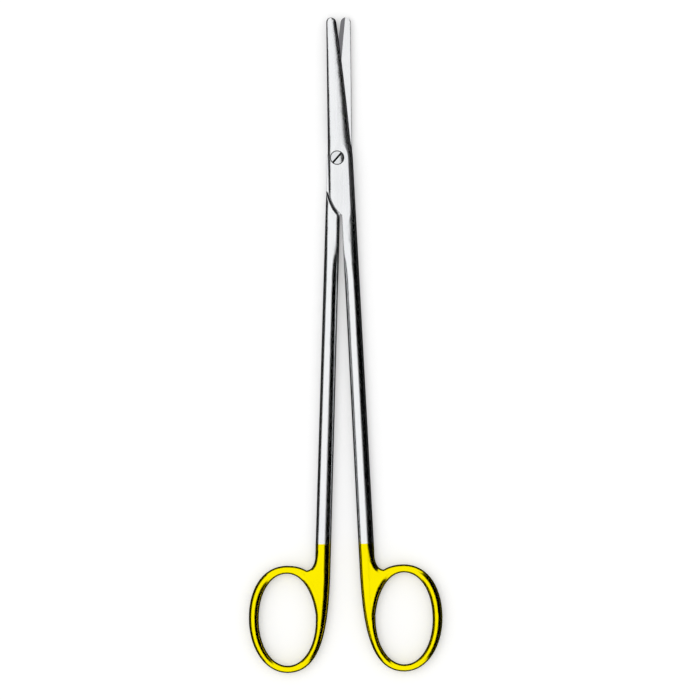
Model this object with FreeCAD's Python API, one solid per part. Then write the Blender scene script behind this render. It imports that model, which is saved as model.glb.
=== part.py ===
import FreeCAD, Part
import math
import os

# Long straight dissecting scissors, 230 mm, with gold-ringed handles and carbide cutting edges.
# They lie flat with the screw head up. The origin is on the pivot's axis, at the ground face that
# they rest on, +Z is up through the screw head, and +Y runs along the scissors towards the tips.
# All sizes are millimetres.

# Levels of the joint
lap_thickness = 2.7           # each half's share of the joint, from the meeting plane to its ground face
lap_gap = 0.08                # running gap between the two lap faces
meeting_plane = lap_thickness
joint_crown = 2.86            # crown of the forging at the joint, before its outer face is ground flat

# Blades, seen from the front, with the scissors' centre line at zero
tip_reach = 49.2              # pivot to the tip of a blade
tip_width = 3.3
tip_crown = 1.15              # half-section thickness at the tip
blade_back = 4.25             # centre line to the straight back of a blade
edge_bow = 0.3                # how far the cutting edge bulges from a straight line
heel_reach = 4.0              # pivot to where the cutting edge ends
heel_half_width = 3.85
edge_lean = 0.35              # width of the steep bevel that ends in the cutting edge

# Joint and shanks
joint_half_width = 4.5        # centre line to the outer side, level with the pivot
pivot_offset = 1.0            # the screw sits this far from the centre line, towards the front blade's back
shoulder_reach = 10.5         # pivot to the start of the shoulder curve
shoulder_sag = 1.0            # how far the shoulder curve stands out from a straight line
crotch_reach = 20.0           # pivot to the end of the shoulder curve, where the shanks part
crotch_half_gap = 0.3
crotch_run_out = 0.06         # how far the flat inside of the crotch has left the shank where it ends
waist_reach = 17.0            # pivot to where the joint starts to narrow
taper_reach = 44.0            # pivot to where the shank takes its plain round section
slim_reach = 66.0             # pivot to a place on the shank that no joint cut reaches
shank_end = 135.0             # pivot to the end of the straight shank, which is the plating line
shank_half_gap = 4.75         # centre line to the inner side of a shank at its end
shank_width = 5.45            # width of a shank at its end
shank_crown_top = 2.35        # half the shank's thickness below the joint
shank_crown_end = 2.05        # and at its end

# Finger rings
ring_bottom = 180.0           # pivot to the lowest point of a ring
ring_crown = 2.0              # half the ring's thickness
hole_near_side = 10.45        # centre line to the hole's side at the shank
hole_width = 20.0
hole_height = 32.2
wall_far_side = 3.45          # ring wall at the outer side
wall_bottom = 2.5             # at the bottom
wall_top = 2.8                # and at the top
widest_rise = 0.4             # the ring is widest this far above the middle of its hole
ring_far_side = hole_near_side + hole_width + wall_far_side
ring_top = ring_bottom - wall_bottom - hole_height - wall_top
ring_middle = ring_bottom - wall_bottom - hole_height / 2 - widest_rise
root_width = 3.2              # hollow curve between a shank and the top of its ring: its width
root_rise = 4.2               # its height
root_dip = 1.75               # and how far its lowest point lies below the top of the ring
root_run = 6.0                # above the hollow, the web's edge runs on this far
root_sink = 0.65              # and ends this deep in the shank
arc_run = 3.0                 # the ring's arc beside the shank ends this far below the hole's widest point
arc_sink = 0.25               # and this deep in the flank
arc_end_width = 2.6
arc_crown = 1.97              # half its thickness there
web_crown = 1.93              # half the thickness of the web between the arc and the shank
web_rim = 0.13                # half the height of the flat that its rounded edge leaves

# Pivot screw
head_diameter = 4.4
head_height = 1.15            # cylindrical part of the head, sunk in the front half
head_dome = 0.25              # dome above the ground face
slot_width = 0.7
slot_depth = 0.8              # below the ground face
slot_angle = 48.0             # degrees from +X
journal_diameter = 3.2        # smooth part that the front half turns on
thread_diameter = 2.6
running_clearance = 0.03      # all round the journal
head_clearance = 0.08         # all round the head
bore_chamfer = 0.25           # round the mouth of the head's seat
head_play = 0.05              # under the head

# Carbide inserts
insert_width = 1.5
insert_thickness = 0.95
insert_heel = 7.0             # pivot to the inner end of an insert

# Travel
closing_angle = 3.4           # from the drawn position to closed, in degrees
shoulder_clearance = 0.2      # left at the shoulders when closed

# Fullness of a quarter of the section: 0.55 is a true ellipse, 1 a square corner
round_full = 0.58
blade_full = 0.78
edge_full = 0.8               # beside the cutting edge
joint_full = 0.86

# How far each curve of the outline holds its first direction, as a share of the distance it spans
circle_pull = 0.5523          # gives a quarter of a true circle
waist_pull = 0.22             # joint into shank, at the joint
taper_pull = 0.6              # and at the shank
sweep_start = 0.46            # shank into the ring's outer sweep
sweep_finish = 0.94           # outer sweep into the ring's bottom
flank_share = 0.55            # share of that sweep that lies beside the upper half of the hole
bow_pull = 0.57               # the ring's other quarters
top_pull = 0.6                # ring's outer side over the top
hole_top_pull = 0.58          # and the hole's
arc_start = 0.65              # outer side of the arc beside the shank, at the top of the ring
arc_finish = 0.79             # and inside the flank
root_pull = 0.6               # both ends of the hollow curve
dip_pull = 0.285              # the web's edge, from where it starts to the lowest point of the hollow
web_first = 0.12              # share of the arc beside the shank at which the web starts
web_last = 0.8                # and ends
web_flank_last = 0.75         # share of the flank at which it ends

# Nose of a blade
nose_flat = 0.12              # share of the nose's curve that the small flat at the very tip takes off
nose_thickness = 0.56         # thickness at that flat, as a share of the full thickness
blade_reach = 8.0             # pivot to where the blade's section starts to turn into the joint's

# Knots that a cubic stretch gets between its ends. They leave its shape as it is.
knots_along = [0.5]
knots_round = [1 / 3, 2 / 3]

# Cutting tools
proud = 1.0                   # how far they reach past the faces that they open
overrun = 8.0                 # the shoulder cut runs out this far past the back of a blade
overrun_rise = 1.5            # and rises this much towards the tip on the way
outside = ring_far_side + overrun
fine = 1e-4                   # distances under this are none


def plan(x, y):
    return FreeCAD.Vector(x, y, 0)


def part_of(poles, start, end):
    """Four poles of the piece of a cubic curve between two of its parameters."""
    def split(four, t):
        first = [a + (b - a) * t for a, b in zip(four, four[1:])]
        second = [a + (b - a) * t for a, b in zip(first, first[1:])]
        point = second[0] + (second[1] - second[0]) * t
        return [four[0], first[0], second[0], point], [point, second[1], first[2], four[3]]
    head, _ = split(poles, end)
    _, tail = split(head, start / end)
    return tail


def quarter_turn(start, start_way, end, end_way, leave_pull, arrive_pull):
    """Cubic quarter turn from start to end, leaving and arriving along the two given directions."""
    span = end - start
    leave = start + start_way * (leave_pull * abs(span.dot(start_way)))
    arrive = end - end_way * (arrive_pull * abs(span.dot(end_way)))
    return [start, leave, arrive, end]


def section(left, right, crown, left_full, right_full, lean=0.0):
    """Poles of a closed section through two plan points: four cubic quarters, the same above and below."""
    middle = (left + right) * 0.5
    half = (right - left) * 0.5
    bevel = half * (lean / half.Length)
    level = FreeCAD.Vector(0, 0, meeting_plane)
    quarters = []
    for side in (1, -1):
        up = FreeCAD.Vector(0, 0, side * crown)
        near = [left, left + up * left_full, middle - half * left_full + up, middle + up]
        far = [middle + up, middle + half * right_full + up, right - bevel + up * right_full, right]
        pair = [near, far] if side == 1 else [far[::-1], near[::-1]]
        quarters += [[pole + level for pole in poles] for poles in pair]
    return quarters


def curve_edge(poles):
    curve = Part.BezierCurve()
    curve.setPoles(poles)
    return curve.toShape()


def line_edge(start, end):
    return Part.LineSegment(start, end).toShape()


def face_of(edges):
    return Part.Face(Part.Wire(edges))


def prism(face, low, high):
    solid = face.extrude(FreeCAD.Vector(0, 0, high - low))
    solid.translate(FreeCAD.Vector(0, 0, low))
    return solid


def lies_over(edge, plan_edges):
    """Whether an edge runs above or below one of the given plan edges."""
    middle = edge.valueAt((edge.FirstParameter + edge.LastParameter) / 2)
    foot = Part.Vertex(plan(middle.x, middle.y))
    return min(foot.distToShape(other)[0] for other in plan_edges) < fine


def skin(stretches):
    """Solid inside a run of stretches. The sections of a stretch are the rows of poles of its surfaces.

    Two rows make a stretch that is straight along its length, four rows make a cubic one.
    """
    ends = [stretches[0][0], stretches[-1][-1]]
    faces = [face_of([curve_edge(poles) for poles in quarters]) for quarters in ends]
    for rows in stretches:
        degree = len(rows) - 1
        for index in range(4):
            poles = [row[index] for row in rows]
            surface = Part.BSplineSurface()
            surface.buildFromPolesMultsKnots(
                poles, [degree + 1, degree + 1], [4, 4], [0.0, 1.0], [0.0, 1.0], False, False, degree, 3)
            if degree == 3:
                surface.insertUKnots(knots_along, [1] * len(knots_along))
                surface.insertVKnots(knots_round, [1] * len(knots_round))
            faces.append(surface.toShape())
    shell = Part.makeShell(faces)
    shell.sewShape()
    solid = Part.makeSolid(shell)
    if solid.Volume < 0:
        solid.reverse()
    return solid


def back_edge(y):
    return -blade_back


def cutting_edge(y):
    """The cutting edge bulges a little from a straight line between its tip and its heel."""
    tip_edge = tip_width - blade_back
    along = (tip_reach - y) / (tip_reach - heel_reach)
    bulge = 4 * edge_bow * along * (1 - along)
    return tip_edge + (heel_half_width - tip_edge) * along + bulge


def outer_side(y):
    """Outer side of the joint and shank, which is straight from the pivot to the ring."""
    spread = shank_half_gap + shank_width - joint_half_width
    return joint_half_width - y * spread / shank_end


def inner_side(y):
    """Inner side of the shank, from the crotch to the ring."""
    along = (-y - crotch_reach) / (shank_end - crotch_reach)
    return crotch_half_gap + (shank_half_gap - crotch_half_gap) * along


def blade_thickness(y):
    """Half-section thickness of the blade, thinning evenly from the joint to the tip."""
    return joint_crown + (tip_crown - joint_crown) * y / tip_reach


def joint_thickness(y):
    return joint_crown


def shank_thickness(y):
    along = (-y - taper_reach) / (shank_end - taper_reach)
    return shank_crown_top + (shank_crown_end - shank_crown_top) * along


# What a stretch follows: left side, right side, half thickness, fullness at left and right, edge bevel
blade_form = (back_edge, cutting_edge, blade_thickness, blade_full, edge_full, edge_lean)
joint_form = (back_edge, outer_side, joint_thickness, joint_full, joint_full, 0.0)
shank_form = (inner_side, outer_side, shank_thickness, round_full, round_full, 0.0)


def form_section(form, level, offset=0.0):
    """Section of a form at a level, or where the form's tangents there lead at a distance up or down."""
    def follow(line):
        return line(level) + (line(level + 1) - line(level - 1)) / 2 * offset
    left_line, right_line, thickness, left_full, right_full, lean = form
    y = level + offset
    left = plan(follow(left_line), y)
    right = plan(follow(right_line), y)
    return section(left, right, follow(thickness), left_full, right_full, lean)


def blend(upper_form, lower_form, high, low, upper_pull=1 / 3, lower_pull=1 / 3):
    """Cubic stretch that leaves one form at the high level and arrives smoothly on another at the low one."""
    span = high - low
    return [
        form_section(upper_form, high),
        form_section(upper_form, high, -upper_pull * span),
        form_section(lower_form, low, lower_pull * span),
        form_section(lower_form, low),
    ]


def straight(form, high, low):
    return [form_section(form, high), form_section(form, low)]


def nose():
    """Rounded end of the blade, from the small flat at its very tip down to where the blade's lines begin."""
    radius = tip_width / 2
    level = tip_reach - radius
    tip = plan(radius - blade_back, tip_reach)
    rise = plan(0, radius * circle_pull)
    edge_rise = plan(cutting_edge(level + 1) - cutting_edge(level), 1) * rise.y
    left_end = plan(back_edge(level), level)
    right_end = plan(cutting_edge(level), level)
    left = [tip, tip - plan(radius * circle_pull, 0), left_end + rise, left_end]
    right = [tip, tip + plan(radius * circle_pull, 0), right_end + edge_rise, right_end]
    left = part_of(left, nose_flat, 1)
    right = part_of(right, nose_flat, 1)
    crown = blade_thickness(level)
    crowns = (crown * nose_thickness, crown * (1 + nose_thickness) / 2, blade_thickness(left[2].y), crown)
    leans = (edge_lean * nose_flat, edge_lean / 2, edge_lean, edge_lean)
    rows = []
    for index in range(4):
        fullness = (blade_full, edge_full) if index > 1 else (round_full, round_full)
        rows.append(section(left[index], right[index], crowns[index], *fullness, leans[index]))
    return rows


def round_stretch(outer, inner, crowns):
    """Stretch of round section between two plan curves."""
    return [section(a, b, crown, round_full, round_full) for a, b, crown in zip(outer, inner, crowns)]


def middle_line(one, other):
    return [(a + b) * 0.5 for a, b in zip(one, other)]


def ring_lines():
    """Poles of the ring's plan curves by name: each stretch has its outer side and its side at the hole."""
    right = plan(1, 0)
    left = plan(-1, 0)
    up = plan(0, 1)
    down = plan(0, -1)
    inner_way = plan(inner_side(-1) - inner_side(0), -1)
    outer_way = plan(outer_side(-1) - outer_side(0), -1)

    hole_far = plan(ring_far_side - wall_far_side, -ring_bottom + wall_bottom + hole_height / 2)
    hole_near = hole_far - plan(hole_width, 0)
    middle_x = hole_far.x - hole_width / 2
    hole_floor = plan(middle_x, hole_far.y - hole_height / 2)
    hole_top = plan(middle_x, hole_far.y + hole_height / 2)
    bottom = plan(middle_x, -ring_bottom)
    far_side = plan(ring_far_side, -ring_middle)
    top = plan(middle_x, -ring_top)

    # The side away from the hole is one long sweep. Its first share faces the hole's flank.
    shank_inner = plan(shank_half_gap, -shank_end)
    shank_outer = plan(shank_half_gap + shank_width, -shank_end)
    sweep_pull = (ring_bottom - shank_end) * sweep_start
    sweep = [
        shank_inner,
        shank_inner + inner_way * sweep_pull,
        bottom - right * ((middle_x - shank_half_gap) * sweep_finish),
        bottom,
    ]
    hole_corner = quarter_turn(hole_near, down, hole_floor, right, bow_pull, bow_pull)
    corner_pull = (hole_corner[0] - hole_corner[1]).Length
    hole_flank = [
        shank_outer,
        shank_outer + outer_way * (sweep_pull * flank_share),
        hole_near + up * (corner_pull * flank_share / (1 - flank_share)),
        hole_near,
    ]

    # Beside the shank an arc closes the ring round the hole and ends inside the flank.
    arc_end = hole_near - plan(arc_sink, arc_run)
    arc_outer_end = arc_end - plan(arc_end_width, 0)
    return {
        "flank": (part_of(sweep, 0, flank_share), hole_flank),
        "corner": (part_of(sweep, flank_share, 1), hole_corner),
        "lower_bow": (quarter_turn(bottom, right, far_side, up, bow_pull, bow_pull),
                      quarter_turn(hole_floor, right, hole_far, up, bow_pull, bow_pull)),
        "upper_bow": (quarter_turn(far_side, up, top, left, top_pull, top_pull),
                      quarter_turn(hole_far, up, hole_top, left, hole_top_pull, hole_top_pull)),
        "arc": (quarter_turn(top, left, arc_outer_end, down, arc_start, arc_finish),
                quarter_turn(hole_top, left, arc_end, down, hole_top_pull, bow_pull)),
    }


def web(lines):
    """Web in the corner between the ring's arc and the shank, with a hollow, rounded upper edge.

    Its hidden sides run along the crests of the shank, the flank and the arc, just under their surfaces.
    """
    arc_outer, arc_hole = lines["arc"]
    arc_crest = part_of(middle_line(arc_outer, arc_hole), web_first, web_last)
    flank_crest = part_of(middle_line(*lines["flank"]), 0, web_flank_last)

    first = part_of(arc_outer, web_first, 1)
    shank_flank = outer_side(-ring_top)
    dip = plan(shank_flank + root_width, -ring_top - root_dip)
    hollow_end = plan(outer_side(dip.y + root_rise), dip.y + root_rise)
    edge_end = plan(outer_side(hollow_end.y + root_run) - root_sink, hollow_end.y + root_run)
    edge_way = (edge_end - hollow_end).normalize()
    edge_start = first[0] - plan(0, arc_sink)
    start_way = (first[1] - first[0]).normalize()
    reach = (edge_start - dip).Length * dip_pull
    arrive = hollow_end - edge_way * (root_rise * root_pull)
    hollow = [
        [edge_start, edge_start + start_way * reach, dip + plan(reach, 0), dip],
        [dip, dip - plan(root_width * root_pull, 0), arrive, hollow_end],
    ]
    shown = [curve_edge(poles) for poles in hollow] + [line_edge(hollow_end, edge_end)]
    shank_crest = plan((inner_side(edge_end.y) + outer_side(edge_end.y)) / 2, edge_end.y)
    hidden = [
        line_edge(edge_end, shank_crest),
        line_edge(shank_crest, flank_crest[0]),
        curve_edge(flank_crest),
        line_edge(flank_crest[-1], arc_crest[-1]),
        curve_edge(arc_crest[::-1]),
        line_edge(arc_crest[0], edge_start),
    ]
    plate = prism(face_of(shown + hidden), meeting_plane - web_crown, meeting_plane + web_crown)
    rims = [edge for edge in plate.Edges if edge.BoundBox.ZLength < fine and lies_over(edge, shown)]
    return plate.makeFillet(web_crown - web_rim, rims)


def ring():
    """The ring as its stretches in order, and the web."""
    lines = ring_lines()
    flank_thickness = shank_thickness(lines["flank"][1][1].y)
    crowns = {
        "flank": [shank_crown_end, flank_thickness, ring_crown, ring_crown],
        "corner": [ring_crown] * 4,
        "lower_bow": [ring_crown] * 4,
        "upper_bow": [ring_crown] * 4,
        "arc": [ring_crown, ring_crown, arc_crown, arc_crown],
    }
    stretches = [round_stretch(*lines[name], crowns[name]) for name in crowns]
    return stretches, web(lines)


def forging():
    """One half as forged, with full thickness everywhere: blade, joint, shank and ring."""
    nose_level = tip_reach - tip_width / 2
    (flank, corner, lower_bow, upper_bow, arc), web_plate = ring()
    body = skin([
        nose(),
        blend(blade_form, blade_form, nose_level, blade_reach),
        blend(blade_form, joint_form, blade_reach, 0),
        straight(joint_form, 0, -waist_reach),
        blend(joint_form, shank_form, -waist_reach, -taper_reach, waist_pull, taper_pull),
        straight(shank_form, -taper_reach, -slim_reach),
        straight(shank_form, -slim_reach, -shank_end),
        flank,
        corner,
    ])
    return body.fuse([skin([lower_bow, upper_bow, arc]), web_plate])


def shoulder_curve():
    """Lower edge of a half's lap, from its back to the crotch and down the inside of its shank."""
    start = plan(-blade_back, -shoulder_reach)
    end = plan(crotch_half_gap, -crotch_reach)
    chord = end - start
    outward = plan(chord.y, -chord.x).normalize()
    middle = (start + end) * 0.5 + outward * shoulder_sag
    shank_point = plan(inner_side(-shank_end), -shank_end)
    return start, middle, end, shank_point


def crotch_cutter():
    """Everything beside the shoulder curve and the inside of the shank, at full height."""
    start, middle, end, _ = shoulder_curve()
    clear_reach = taper_reach + 2 * proud
    clear_end = plan(inner_side(-clear_reach) - crotch_run_out, -clear_reach)
    corner = plan(-outside, clear_end.y)
    edges = [
        Part.Arc(start, middle, end).toShape(),
        line_edge(end, clear_end),
        line_edge(clear_end, corner),
        line_edge(corner, plan(-outside, start.y)),
        line_edge(plan(-outside, start.y), start),
    ]
    return prism(face_of(edges), -proud, 2 * lap_thickness + proud)


def lap_cutter(pivot_x):
    """Room for the other half's lap, below the meeting plane, as it lies when the scissors are closed."""
    start, middle, end, shank_point = shoulder_curve()
    run_out = plan(-blade_back - overrun, -shoulder_reach + overrun_rise)
    run_out_top = plan(run_out.x, tip_reach + overrun)
    far_top = plan(outside, tip_reach + overrun)
    far_bottom = plan(outside, shank_point.y)
    edges = [
        line_edge(run_out_top, run_out),
        line_edge(run_out, start),
        Part.Arc(start, middle, end).toShape(),
        line_edge(end, shank_point),
        line_edge(shank_point, far_bottom),
        line_edge(far_bottom, far_top),
        line_edge(far_top, run_out_top),
    ]
    face = face_of(edges).makeOffset2D(shoulder_clearance)
    face = face.mirror(FreeCAD.Vector(0, 0, 0), FreeCAD.Vector(1, 0, 0))
    cutter = prism(face, -proud, meeting_plane + lap_gap / 2)
    cutter.rotate(plan(pivot_x, 0), FreeCAD.Vector(0, 0, 1), closing_angle)
    return cutter


def insert_room():
    """Straight strip along the cutting edge, as deep as an insert is thick."""
    low = insert_heel
    high = tip_reach + proud
    inner_low = cutting_edge(low) - insert_width
    inner_high = cutting_edge(tip_reach) - insert_width
    corners = [
        plan(inner_low, low),
        plan(heel_half_width + overrun, low),
        plan(heel_half_width + overrun, high),
        plan(inner_high, high),
        plan(inner_low, low),
    ]
    face = Part.Face(Part.makePolygon(corners))
    return prism(face, meeting_plane - lap_thickness, meeting_plane + lap_gap / 2 + insert_thickness)


def half(pivot_x):
    """One half in the front half's position, and its insert, about a pivot at pivot_x."""
    outer_face = meeting_plane + lap_thickness
    slab = Part.makeBox(2 * outside, tip_reach + ring_bottom + 2 * overrun, 2 * lap_thickness)
    slab.translate(FreeCAD.Vector(-outside, -ring_bottom - overrun, outer_face - 2 * lap_thickness))
    steel = forging().common(slab)
    steel = steel.cut(crotch_cutter())
    steel = steel.cut(lap_cutter(pivot_x))
    room = insert_room()
    insert = steel.common(room)
    steel = steel.cut(room)
    return steel.Solids[0], insert.Solids[0]


def cylinder(diameter, low, high):
    return Part.makeCylinder(diameter / 2, high - low, FreeCAD.Vector(0, 0, low))


def pivot_screw():
    """Shoulder screw: domed slotted head, smooth journal, and a thread that ends flush."""
    ground_face = 2 * lap_thickness
    seat = ground_face - head_height
    head = cylinder(head_diameter, seat + head_play, ground_face)
    radius = head_diameter / 2
    sphere_radius = (radius ** 2 + head_dome ** 2) / (2 * head_dome)
    sphere = Part.makeSphere(sphere_radius, FreeCAD.Vector(0, 0, ground_face + head_dome - sphere_radius))
    dome = sphere.common(cylinder(head_diameter, ground_face, ground_face + 2 * head_dome))
    screw = head.fuse([
        dome,
        cylinder(journal_diameter, meeting_plane - lap_gap / 2, seat + head_play),
        cylinder(thread_diameter, 0, meeting_plane - lap_gap / 2),
    ]).removeSplitter()
    slot = Part.makeBox(2 * head_diameter, slot_width, slot_depth + head_dome)
    slot.translate(FreeCAD.Vector(-head_diameter, -slot_width / 2, ground_face - slot_depth))
    slot.rotate(FreeCAD.Vector(0, 0, 0), FreeCAD.Vector(0, 0, 1), slot_angle)
    return screw.cut(slot)


def front_bore():
    """Journal hole and counterbore through the front half, on the pivot's axis."""
    seat = 2 * lap_thickness - head_height
    hole = cylinder(journal_diameter + 2 * running_clearance, 0, seat + proud)
    head_room = head_diameter / 2 + head_clearance
    mouth_low = FreeCAD.Vector(0, 0, 2 * lap_thickness - bore_chamfer)
    mouth = Part.makeCone(head_room, head_room + bore_chamfer + proud, bore_chamfer + proud, mouth_low)
    return hole.fuse([cylinder(2 * head_room, seat, 2 * lap_thickness + proud), mouth])


def place_front(shape):
    shape.translate(FreeCAD.Vector(pivot_offset, 0, 0))
    return shape


def place_back(shape):
    """Half a turn about the centre line carries a half from the front position to the back one."""
    shape.rotate(FreeCAD.Vector(0, 0, meeting_plane), FreeCAD.Vector(0, 1, 0), 180)
    shape.translate(FreeCAD.Vector(pivot_offset, 0, 0))
    return shape


front_steel, front_strip = half(-pivot_offset)
back_steel, back_strip = half(pivot_offset)
pieces = {
    "front_half": place_front(front_steel).cut(front_bore()),
    "front_insert": place_front(front_strip),
    "back_half": place_back(back_steel).cut(cylinder(thread_diameter, -proud, meeting_plane)),
    "back_insert": place_back(back_strip),
    "pivot_screw": pivot_screw(),
}

os.makedirs("parts", exist_ok=True)
for name, shape in pieces.items():
    shape.exportStep("parts/" + name + ".step")
    box = shape.BoundBox
    print(name, len(shape.Solids), shape.isValid(), round(shape.Volume, 2),
          [round(v, 2) for v in (box.XMin, box.XMax, box.YMin, box.YMax, box.ZMin, box.ZMax)])
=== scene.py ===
import bpy
import math
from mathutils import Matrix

# Long straight dissecting scissors lying flat, screw head up, tips towards +Y.
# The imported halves, inserts and screw are kept, and each is given the finish of the real piece.
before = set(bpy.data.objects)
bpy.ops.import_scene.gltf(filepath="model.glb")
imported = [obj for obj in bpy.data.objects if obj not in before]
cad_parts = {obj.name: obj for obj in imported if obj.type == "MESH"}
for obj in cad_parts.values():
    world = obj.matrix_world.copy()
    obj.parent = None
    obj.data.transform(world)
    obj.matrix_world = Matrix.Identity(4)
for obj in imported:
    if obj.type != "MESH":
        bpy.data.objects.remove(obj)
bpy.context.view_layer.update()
scene = bpy.context.scene


# The two halves: forged martensitic stainless steel, glass-bead satin with a fine lengthwise grain.
# The ring ends are dipped for gold plating up to a masked line across the shanks, square to them.
# The gold is bright over the same steel, so it is smoother than the satin above the line.
MM = 0.001
STEEL = "#F6F7F8"
STEEL_SHADE = "#ECEEF0"
GOLD = "#FFF000"
GOLD_SHADE = "#FCE800"
PLATING_LINE = -135.0 * MM
PLATING_BLUR = 0.04 * MM        # the gold fades this far on both sides of the masked line
GRAIN_ACROSS = 0.35 * MM        # real grain is near 0.05 mm; drawn coarser so that it shows
GRAIN_ALONG = 14.0 * MM
GRAIN_DEPTH = 0.01 * MM
GRAIN_STRENGTH = 0.25
CLOUD_SIZE = 9.0 * MM           # faint patches where the blasting was uneven
PATTERN_LOW = 0.3               # nearly all of a noise pattern lies between these two values
PATTERN_HIGH = 0.7
STEEL_SMOOTHEST = 0.15
STEEL_ROUGHEST = 0.25
GOLD_SMOOTHEST = 0.12
GOLD_ROUGHEST = 0.17
POLISH_TOP = -34.0 * MM         # the shanks are polished up to here
GROUND_START = -14.0 * MM       # and the joint and blades are ground matt from here
GROUND_EXTRA = 0.08             # roughness that the grinding adds
CROTCH = -20.0 * MM             # where the shanks meet below the joint
CROTCH_BLEND = 2.0 * MM
GROUND_EDGE_RADIUS = 0.45 * MM  # edges of the ground blades and joint are only broken
BUFFED_EDGE_RADIUS = 1.0 * MM   # buffing rounds the edges and creases of the shanks and rings more
CORNER_SHADE = "#2A2B2D"                 # painted shade: near black in the joint's gaps and corners, where light hardly reaches
GAP_REACH = 2.4 * MM            # how near the other wall of a corner is for the painted shade to fall in it
CORNER_SHADE_FULL = 0.7                  # share of open air below which the steel is all painted shade
CORNER_SHADE_NONE = 0.8                  # and above which it has none
SEAT_EDGE = 2.5 * MM            # the screw head's seat and its chamfer get the same painted shade
SEAT_FLOOR = 4.0 * MM


def linear(hex_colour):
    """Linear colour for an sRGB hex value."""
    channels = [int(hex_colour[i:i + 2], 16) / 255 for i in (1, 3, 5)]
    return [c / 12.92 if c <= 0.04045 else ((c + 0.055) / 1.055) ** 2.4 for c in channels] + [1.0]


def add_node(tree, kind, inputs=None, **settings):
    """Adds a node with its settings. Each input is a value, or another node's output socket to link."""
    node = tree.nodes.new(kind)
    for name, value in settings.items():
        setattr(node, name, value)
    for name, value in (inputs or {}).items():
        if isinstance(value, bpy.types.NodeSocket):
            tree.links.new(value, node.inputs[name])
        else:
            node.inputs[name].default_value = value
    return node


def new_material(name):
    """A material named for its finish, with an empty node tree."""
    material = bpy.data.materials.new(name)
    material.use_nodes = True
    material.node_tree.nodes.clear()
    return material, material.node_tree


# Satin forged stainless: pale and cool, with streaks along the shanks that break up its reflections.
# Bright gold plating: vivid yellow, with softer reflections of the same surroundings.
satin, tree = new_material("satin_stainless_with_gold_plated_rings")
place = add_node(tree, "ShaderNodeTexCoord")
apart = add_node(tree, "ShaderNodeSeparateXYZ", {"Vector": place.outputs["Object"]})
plated = add_node(tree, "ShaderNodeMapRange", {
    "Value": apart.outputs["Y"],
    "From Min": PLATING_LINE + PLATING_BLUR, "From Max": PLATING_LINE - PLATING_BLUR})
streak_place = add_node(tree, "ShaderNodeMapping", {
    "Vector": place.outputs["Object"], "Scale": (1 / GRAIN_ACROSS, 1 / GRAIN_ALONG, 1 / GRAIN_ACROSS)})
streaks = add_node(tree, "ShaderNodeTexNoise", {
    "Vector": streak_place.outputs["Vector"], "Scale": 1.0, "Detail": 3.0, "Roughness": 0.6})
clouds = add_node(tree, "ShaderNodeTexNoise", {
    "Vector": place.outputs["Object"], "Scale": 1 / CLOUD_SIZE, "Detail": 2.0})

# Painted shade lies in the inside corners of each half, which see little open air, and in the screw
# head's seat.
open_air = add_node(tree, "ShaderNodeAmbientOcclusion", {"Distance": GAP_REACH},
    samples=16, only_local=True)
in_corner = add_node(tree, "ShaderNodeMapRange", {
    "Value": open_air.outputs["AO"],
    "From Min": CORNER_SHADE_FULL, "From Max": CORNER_SHADE_NONE, "To Min": 1.0, "To Max": 0.0})
across = add_node(tree, "ShaderNodeCombineXYZ", {"X": apart.outputs["X"], "Y": apart.outputs["Y"]})
from_axis = add_node(tree, "ShaderNodeVectorMath", {0: across.outputs["Vector"]}, operation="LENGTH")
near_screw = add_node(tree, "ShaderNodeMath", {
    0: from_axis.outputs["Value"], 1: SEAT_EDGE}, operation="LESS_THAN")
above_floor = add_node(tree, "ShaderNodeMath", {
    0: apart.outputs["Z"], 1: SEAT_FLOOR}, operation="GREATER_THAN")
in_seat = add_node(tree, "ShaderNodeMath", {
    0: near_screw.outputs["Value"], 1: above_floor.outputs["Value"]}, operation="MULTIPLY")
painted_shade = add_node(tree, "ShaderNodeMath", {
    0: in_corner.outputs["Result"], 1: in_seat.outputs["Value"]}, operation="MAXIMUM")

steel_tone = add_node(tree, "ShaderNodeMix", {
    "Factor": clouds.outputs["Fac"], "A": linear(STEEL), "B": linear(STEEL_SHADE)}, data_type="RGBA")
# Painted shade: the steel is mixed towards near black in the corners and in the screw head's seat.
steel = add_node(tree, "ShaderNodeMix", {
    "Factor": painted_shade.outputs["Value"], "A": steel_tone.outputs["Result"], "B": linear(CORNER_SHADE)},
    data_type="RGBA")
gold = add_node(tree, "ShaderNodeMix", {
    "Factor": clouds.outputs["Fac"], "A": linear(GOLD), "B": linear(GOLD_SHADE)}, data_type="RGBA")
colour = add_node(tree, "ShaderNodeMix", {
    "Factor": plated.outputs["Result"], "A": steel.outputs["Result"], "B": gold.outputs["Result"]},
    data_type="RGBA")

polished_roughness = add_node(tree, "ShaderNodeMapRange", {
    "Value": streaks.outputs["Fac"], "From Min": PATTERN_LOW, "From Max": PATTERN_HIGH,
    "To Min": STEEL_SMOOTHEST, "To Max": STEEL_ROUGHEST})
grinding = add_node(tree, "ShaderNodeMapRange", {
    "Value": apart.outputs["Y"], "From Min": POLISH_TOP, "From Max": GROUND_START,
    "To Min": 0.0, "To Max": GROUND_EXTRA})
steel_roughness = add_node(tree, "ShaderNodeMath", {
    0: polished_roughness.outputs["Result"], 1: grinding.outputs["Result"]}, operation="ADD")
gold_roughness = add_node(tree, "ShaderNodeMapRange", {
    "Value": clouds.outputs["Fac"], "From Min": PATTERN_LOW, "From Max": PATTERN_HIGH,
    "To Min": GOLD_SMOOTHEST, "To Max": GOLD_ROUGHEST})
roughness = add_node(tree, "ShaderNodeMix", {
    "Factor": plated.outputs["Result"], "A": steel_roughness.outputs["Value"],
    "B": gold_roughness.outputs["Result"]}, data_type="FLOAT")

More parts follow.
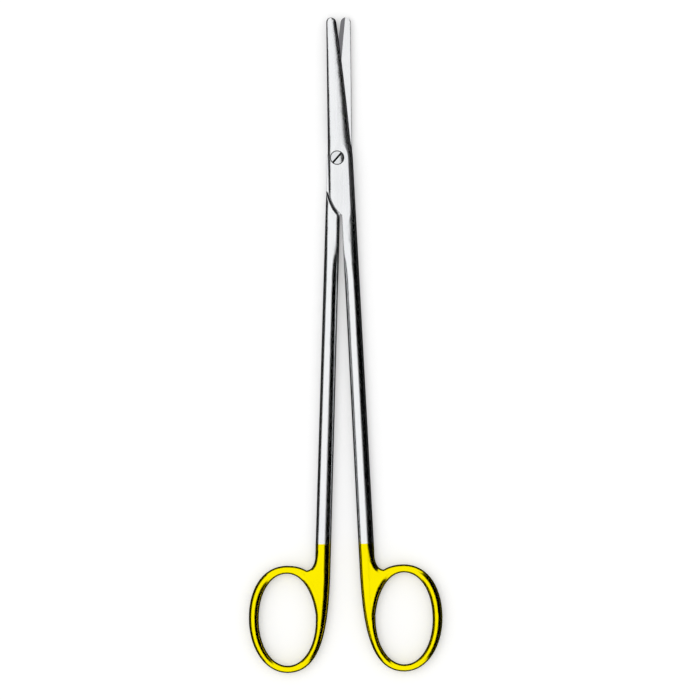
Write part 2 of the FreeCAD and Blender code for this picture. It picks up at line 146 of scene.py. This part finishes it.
edge_radius = add_node(tree, "ShaderNodeMapRange", {
    "Value": apart.outputs["Y"], "From Min": CROTCH + CROTCH_BLEND, "From Max": CROTCH - CROTCH_BLEND,
    "To Min": GROUND_EDGE_RADIUS, "To Max": BUFFED_EDGE_RADIUS})
edges = add_node(tree, "ShaderNodeBevel", {"Radius": edge_radius.outputs["Result"]}, samples=8)
relief = add_node(tree, "ShaderNodeBump", {
    "Height": streaks.outputs["Fac"], "Strength": GRAIN_STRENGTH, "Distance": GRAIN_DEPTH,
    "Normal": edges.outputs["Normal"]})
surface = add_node(tree, "ShaderNodeBsdfPrincipled", {
    "Base Color": colour.outputs["Result"], "Metallic": 1.0, "Roughness": roughness.outputs["Result"],
    "Normal": relief.outputs["Normal"]})
add_node(tree, "ShaderNodeOutputMaterial", {"Surface": surface.outputs["BSDF"]})
for name in ("front_half", "back_half"):
    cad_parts[name].material_slots[0].material = satin


# The cutting inserts: sintered tungsten carbide strips, brazed into a rebate along each blade's edge
# and ground together with it.
CARBIDE = "#85868A"
CARBIDE_SHADE = "#737274"
GRIT = 0.2 * MM                 # grinding marks, drawn coarser than real ones so that they show
CARBIDE_SMOOTHEST = 0.3
CARBIDE_ROUGHEST = 0.42

# Ground tungsten carbide: a much darker grey than the steel beside it, and finely matt.
carbide, tree = new_material("ground_tungsten_carbide")
place = add_node(tree, "ShaderNodeTexCoord")
marks = add_node(tree, "ShaderNodeTexNoise", {
    "Vector": place.outputs["Object"], "Scale": 1 / GRIT, "Detail": 2.0})
colour = add_node(tree, "ShaderNodeMix", {
    "Factor": marks.outputs["Fac"], "A": linear(CARBIDE), "B": linear(CARBIDE_SHADE)}, data_type="RGBA")
roughness = add_node(tree, "ShaderNodeMapRange", {
    "Value": marks.outputs["Fac"], "To Min": CARBIDE_SMOOTHEST, "To Max": CARBIDE_ROUGHEST})
surface = add_node(tree, "ShaderNodeBsdfPrincipled", {
    "Base Color": colour.outputs["Result"], "Metallic": 1.0, "Roughness": roughness.outputs["Result"]})
add_node(tree, "ShaderNodeOutputMaterial", {"Surface": surface.outputs["BSDF"]})
for name in ("front_insert", "back_insert"):
    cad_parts[name].material_slots[0].material = carbide


# The pivot screw: a slotted shoulder screw turned from bright stainless bar, with rings left by the tool.
# It goes in from the front and its threaded end is ground flush with the back.
SCREW = "#E2E4E6"
SCREW_ROUGHNESS = 0.16
TURNING = 0.4 * MM              # one turn of the tool, drawn about four times as coarse so that it shows
TURNING_DEPTH = 0.01 * MM
TURNING_STRENGTH = 0.15
WAVE_STEP = math.tau / 20       # the wave texture repeats once in this length at a scale of 1
SLOT_SHADE = "#1C1D1E"
SLOT_SHADE_LEVEL = 5.38 * MM          # just under the joint's face: below it the slot and the head's side get painted shade

# Bright turned stainless: nearly white and glossy, with faint rings round its middle and painted shade in
# its slot.
bright, tree = new_material("turned_bright_stainless")
place = add_node(tree, "ShaderNodeTexCoord")
rings = add_node(tree, "ShaderNodeTexWave", {
    "Vector": place.outputs["Object"], "Scale": WAVE_STEP / TURNING, "Distortion": 0.0},
    wave_type="RINGS", rings_direction="Z")
relief = add_node(tree, "ShaderNodeBump", {
    "Height": rings.outputs["Fac"], "Strength": TURNING_STRENGTH, "Distance": TURNING_DEPTH})
apart = add_node(tree, "ShaderNodeSeparateXYZ", {"Vector": place.outputs["Object"]})
# Painted shade: all of the screw below the head's top face is near black.
deep = add_node(tree, "ShaderNodeMath", {0: apart.outputs["Z"], 1: SLOT_SHADE_LEVEL}, operation="LESS_THAN")
colour = add_node(tree, "ShaderNodeMix", {
    "Factor": deep.outputs["Value"], "A": linear(SCREW), "B": linear(SLOT_SHADE)}, data_type="RGBA")
surface = add_node(tree, "ShaderNodeBsdfPrincipled", {
    "Base Color": colour.outputs["Result"], "Metallic": 1.0, "Roughness": SCREW_ROUGHNESS,
    "Normal": relief.outputs["Normal"]})
add_node(tree, "ShaderNodeOutputMaterial", {"Surface": surface.outputs["BSDF"]})
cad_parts["pivot_screw"].material_slots[0].material = bright


# The floor: a plain white studio table, large enough to meet the horizon from any side.
# It is white to the camera and in the metal, and keeps the shadow of the scissors.
FLOOR_SIZE = 60.0               # metres
FLOOR = "#F7F7F7"
FLOOR_LIFT = 0.23               # glow that takes the lit table to white


def seen_rays(tree):
    """1 for what the camera sees, straight or by way of metal or glass, and 0 for the light on things."""
    path = add_node(tree, "ShaderNodeLightPath")
    straight_or_metal = add_node(tree, "ShaderNodeMath", {
        0: path.outputs["Is Camera Ray"], 1: path.outputs["Is Glossy Ray"]}, operation="MAXIMUM")
    any_way = add_node(tree, "ShaderNodeMath", {
        0: straight_or_metal.outputs["Value"], 1: path.outputs["Is Transmission Ray"]},
        operation="MAXIMUM")
    return any_way.outputs["Value"]


bpy.ops.object.select_all(action="DESELECT")
bpy.ops.mesh.primitive_plane_add(size=FLOOR_SIZE, location=(0, 0, 0))
floor = bpy.context.object
floor.name = "studio_floor"
paper, tree = new_material("matt_white_table")
lift = add_node(tree, "ShaderNodeMath", {0: seen_rays(tree), 1: FLOOR_LIFT}, operation="MULTIPLY")
matt = add_node(tree, "ShaderNodeBsdfDiffuse", {"Color": linear(FLOOR)})
glow = add_node(tree, "ShaderNodeEmission", {"Strength": lift.outputs["Value"]})
both = add_node(tree, "ShaderNodeAddShader", {0: matt.outputs["BSDF"], 1: glow.outputs["Emission"]})
add_node(tree, "ShaderNodeOutputMaterial", {"Surface": both.outputs["Shader"]})
floor.data.materials.append(paper)


# The light: a white tent, a broad soft box above and to the left, and dark cards that only the metal
# sees. The tall card on the right gives the dark right-hand flanks, the low one on the left gives the
# thin dark line along the left-hand ones, and the one laid on the table gives the dark lower walls.
TENT = "#FFFFFF"
TENT_LIGHT = 0.73               # how strongly the tent lights the scissors, though it looks pure white
BOX_PLACE = (-0.55, 0.2, 1.7)   # metres, like the other places and sizes in this section
BOX_SIZE = 1.6
BOX_POWER = 6.6                 # watts
CARD_DISTANCE = 1.5
CARD_LENGTH = 3.2
CARD_MIDDLE = -0.06             # the cards are centred on the scissors' length
RIGHT_CARD_TOP = 75             # height of the upright cards in degrees, as seen from the screw
LEFT_CARD_TOP = 26
TABLE_CARD_SIZE = 1.2
TABLE_CARD_LEVEL = 0.02 * MM
TABLE_CARD_GLOW = 0.02

world = bpy.data.worlds.new("white_tent")
scene.world = world
world.use_nodes = True
tree = world.node_tree
tree.nodes.clear()
level = add_node(tree, "ShaderNodeMapRange", {
    "Value": seen_rays(tree), "To Min": TENT_LIGHT, "To Max": 1.0})
sky = add_node(tree, "ShaderNodeBackground", {"Color": linear(TENT), "Strength": level.outputs["Result"]})
add_node(tree, "ShaderNodeOutputWorld", {"Surface": sky.outputs["Background"]})

bpy.ops.object.select_all(action="DESELECT")
bpy.ops.object.light_add(type="AREA", location=BOX_PLACE)
box = bpy.context.object
box.name = "soft_box"
box.data.shape = "DISK"
box.data.size = BOX_SIZE
box.data.energy = BOX_POWER
box.rotation_mode = "QUATERNION"
box.rotation_quaternion = box.location.to_track_quat("Z", "Y")
box.visible_glossy = False


def dark_card(name, glow, place, turn, size):
    """A flat card that only the metal sees, so it shades nothing and hides nothing."""
    felt, tree = new_material(name)
    dull = add_node(tree, "ShaderNodeEmission", {"Strength": glow})
    add_node(tree, "ShaderNodeOutputMaterial", {"Surface": dull.outputs["Emission"]})
    bpy.ops.object.select_all(action="DESELECT")
    bpy.ops.mesh.primitive_plane_add(size=1, location=place, rotation=(0, turn, 0))
    card = bpy.context.object
    card.name = name
    card.scale = (*size, 1)
    card.data.materials.append(felt)
    card.visible_camera = False
    card.visible_diffuse = False
    card.visible_transmission = False
    card.visible_shadow = False


for name, side, top in (("dark_card_right", 1, RIGHT_CARD_TOP), ("dark_card_left", -1, LEFT_CARD_TOP)):
    height = CARD_DISTANCE * math.tan(math.radians(top))
    dark_card(name, 0.0, (side * CARD_DISTANCE, CARD_MIDDLE, height / 2), math.pi / 2,
              (height, CARD_LENGTH))
dark_card("dark_card_below", TABLE_CARD_GLOW, (0, CARD_MIDDLE, TABLE_CARD_LEVEL), 0.0,
          (TABLE_CARD_SIZE, TABLE_CARD_SIZE))


# The camera: a long lens straight above, as the drawing looks square on at the screw head.
# The scissors lean a little to the left in the picture, so the camera is turned by as much.
PICTURE_WIDTH = 245.0 * MM
LENS = 200.0                    # lens and sensor in millimetres
SENSOR_WIDTH = 36.0
LEAN = -0.7                     # degrees
AIM = (3.66 * MM, -67.25 * MM, 2.7 * MM)

camera_height = AIM[2] + PICTURE_WIDTH * LENS / SENSOR_WIDTH
bpy.ops.object.camera_add(location=(AIM[0], AIM[1], camera_height))
camera = bpy.context.object
camera.name = "camera"
camera.data.lens = LENS
camera.data.sensor_width = SENSOR_WIDTH
camera.rotation_euler = (0, 0, math.radians(LEAN))
scene.camera = camera
scene.view_settings.view_transform = "Standard"
